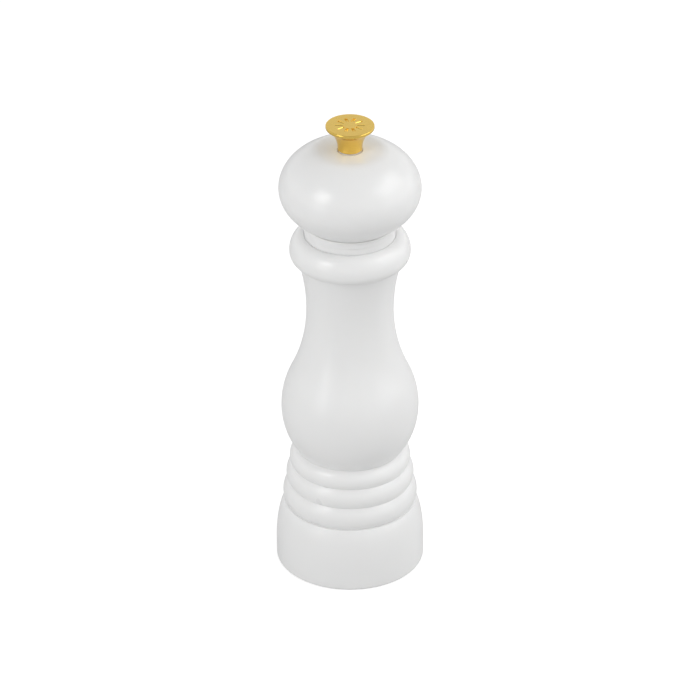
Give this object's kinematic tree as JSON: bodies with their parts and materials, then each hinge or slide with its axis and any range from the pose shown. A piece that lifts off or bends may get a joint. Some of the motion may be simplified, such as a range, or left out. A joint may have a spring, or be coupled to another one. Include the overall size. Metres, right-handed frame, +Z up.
{
  "type": "pepper mill",
  "caption": "Turned baluster-shaped pepper mill: a head that turns a ceramic cone-and-ring grinder through a square spindle, with a knob on top that sets the grind.",
  "frame": {"origin": "on the axis of the mill, at the surface that it stands on", "axes": "+Z up along the axis, from the base to the knob; +X and +Y are any two directions square to it"},
  "size_m": [0.064, 0.064, 0.21],
  "materials": {
    "shell_plastic": "glossy white ABS",
    "bearing_plastic": "satin natural nylon",
    "liner_plastic": "satin light grey plastic",
    "housing_plastic": "matte dark grey nylon",
    "grinder_ceramic": "unglazed fine ceramic",
    "steel": "stamped stainless steel",
    "fastener_steel": "zinc-plated steel",
    "spring_steel": "drawn spring wire",
    "spindle_metal": "drawn aluminium bar",
    "knob_metal": "satin gold-coloured plating"
  },
  "bodies": {
    "mill_body": {"body_shell": "shell_plastic", "collar_bush": "bearing_plastic", "hopper_tube": "liner_plastic", "mechanism_housing": "housing_plastic", "bridge": "steel", "thrust_washer": "bearing_plastic", "grinding_ring": "grinder_ceramic", "ring_retainer": "steel", "retainer_screws": "fastener_steel", "base_plate": "shell_plastic", "base_screws": "fastener_steel"},
    "drive": {"drive_bush": "bearing_plastic"},
    "spindle_group": {"spindle": "spindle_metal", "spindle_clip": "fastener_steel", "spring": "spring_steel", "spring_seat": "steel", "feed_screw": "housing_plastic", "grinding_cone": "grinder_ceramic", "cone_washer": "fastener_steel", "cone_screw": "fastener_steel"},
    "head": {"head_shell": "shell_plastic", "head_core": "liner_plastic", "head_ferrule": "knob_metal", "drive_plate": "steel", "drive_plate_screws": "fastener_steel"},
    "washer": {"knob_washer": "bearing_plastic"},
    "knob": {"adjust_knob": "knob_metal"}
  },
  "joints": [
    {"name": "head_turn", "type": "hinge", "parent": "mill_body", "child": "drive", "pos_m": [0, 0, 0.043], "axis": [0, 0, 1], "continuous": true},
    {"name": "grind_gap", "type": "slide", "parent": "drive", "child": "spindle_group", "axis": [0, 0, 1], "range_m": [0, 0.00125], "deforming": ["spring"]},
    {"name": "head_lift", "type": "slide", "parent": "drive", "child": "head", "axis": [0, 0, 1], "range_m": [0, 0.065]},
    {"name": "knob_lift", "type": "slide", "parent": "head", "child": "washer", "axis": [0, 0, 1], "range_m": [0, 0.015]},
    {"name": "knob_turn", "type": "hinge", "parent": "washer", "child": "knob", "pos_m": [0, 0, 0.2], "axis": [0, 0, -1], "range_deg": [0, 540]}
  ],
  "couplings": [
    {"joint": "grind_gap", "follows": "knob_turn", "m_per_rad": 0.00012732}
  ]
}
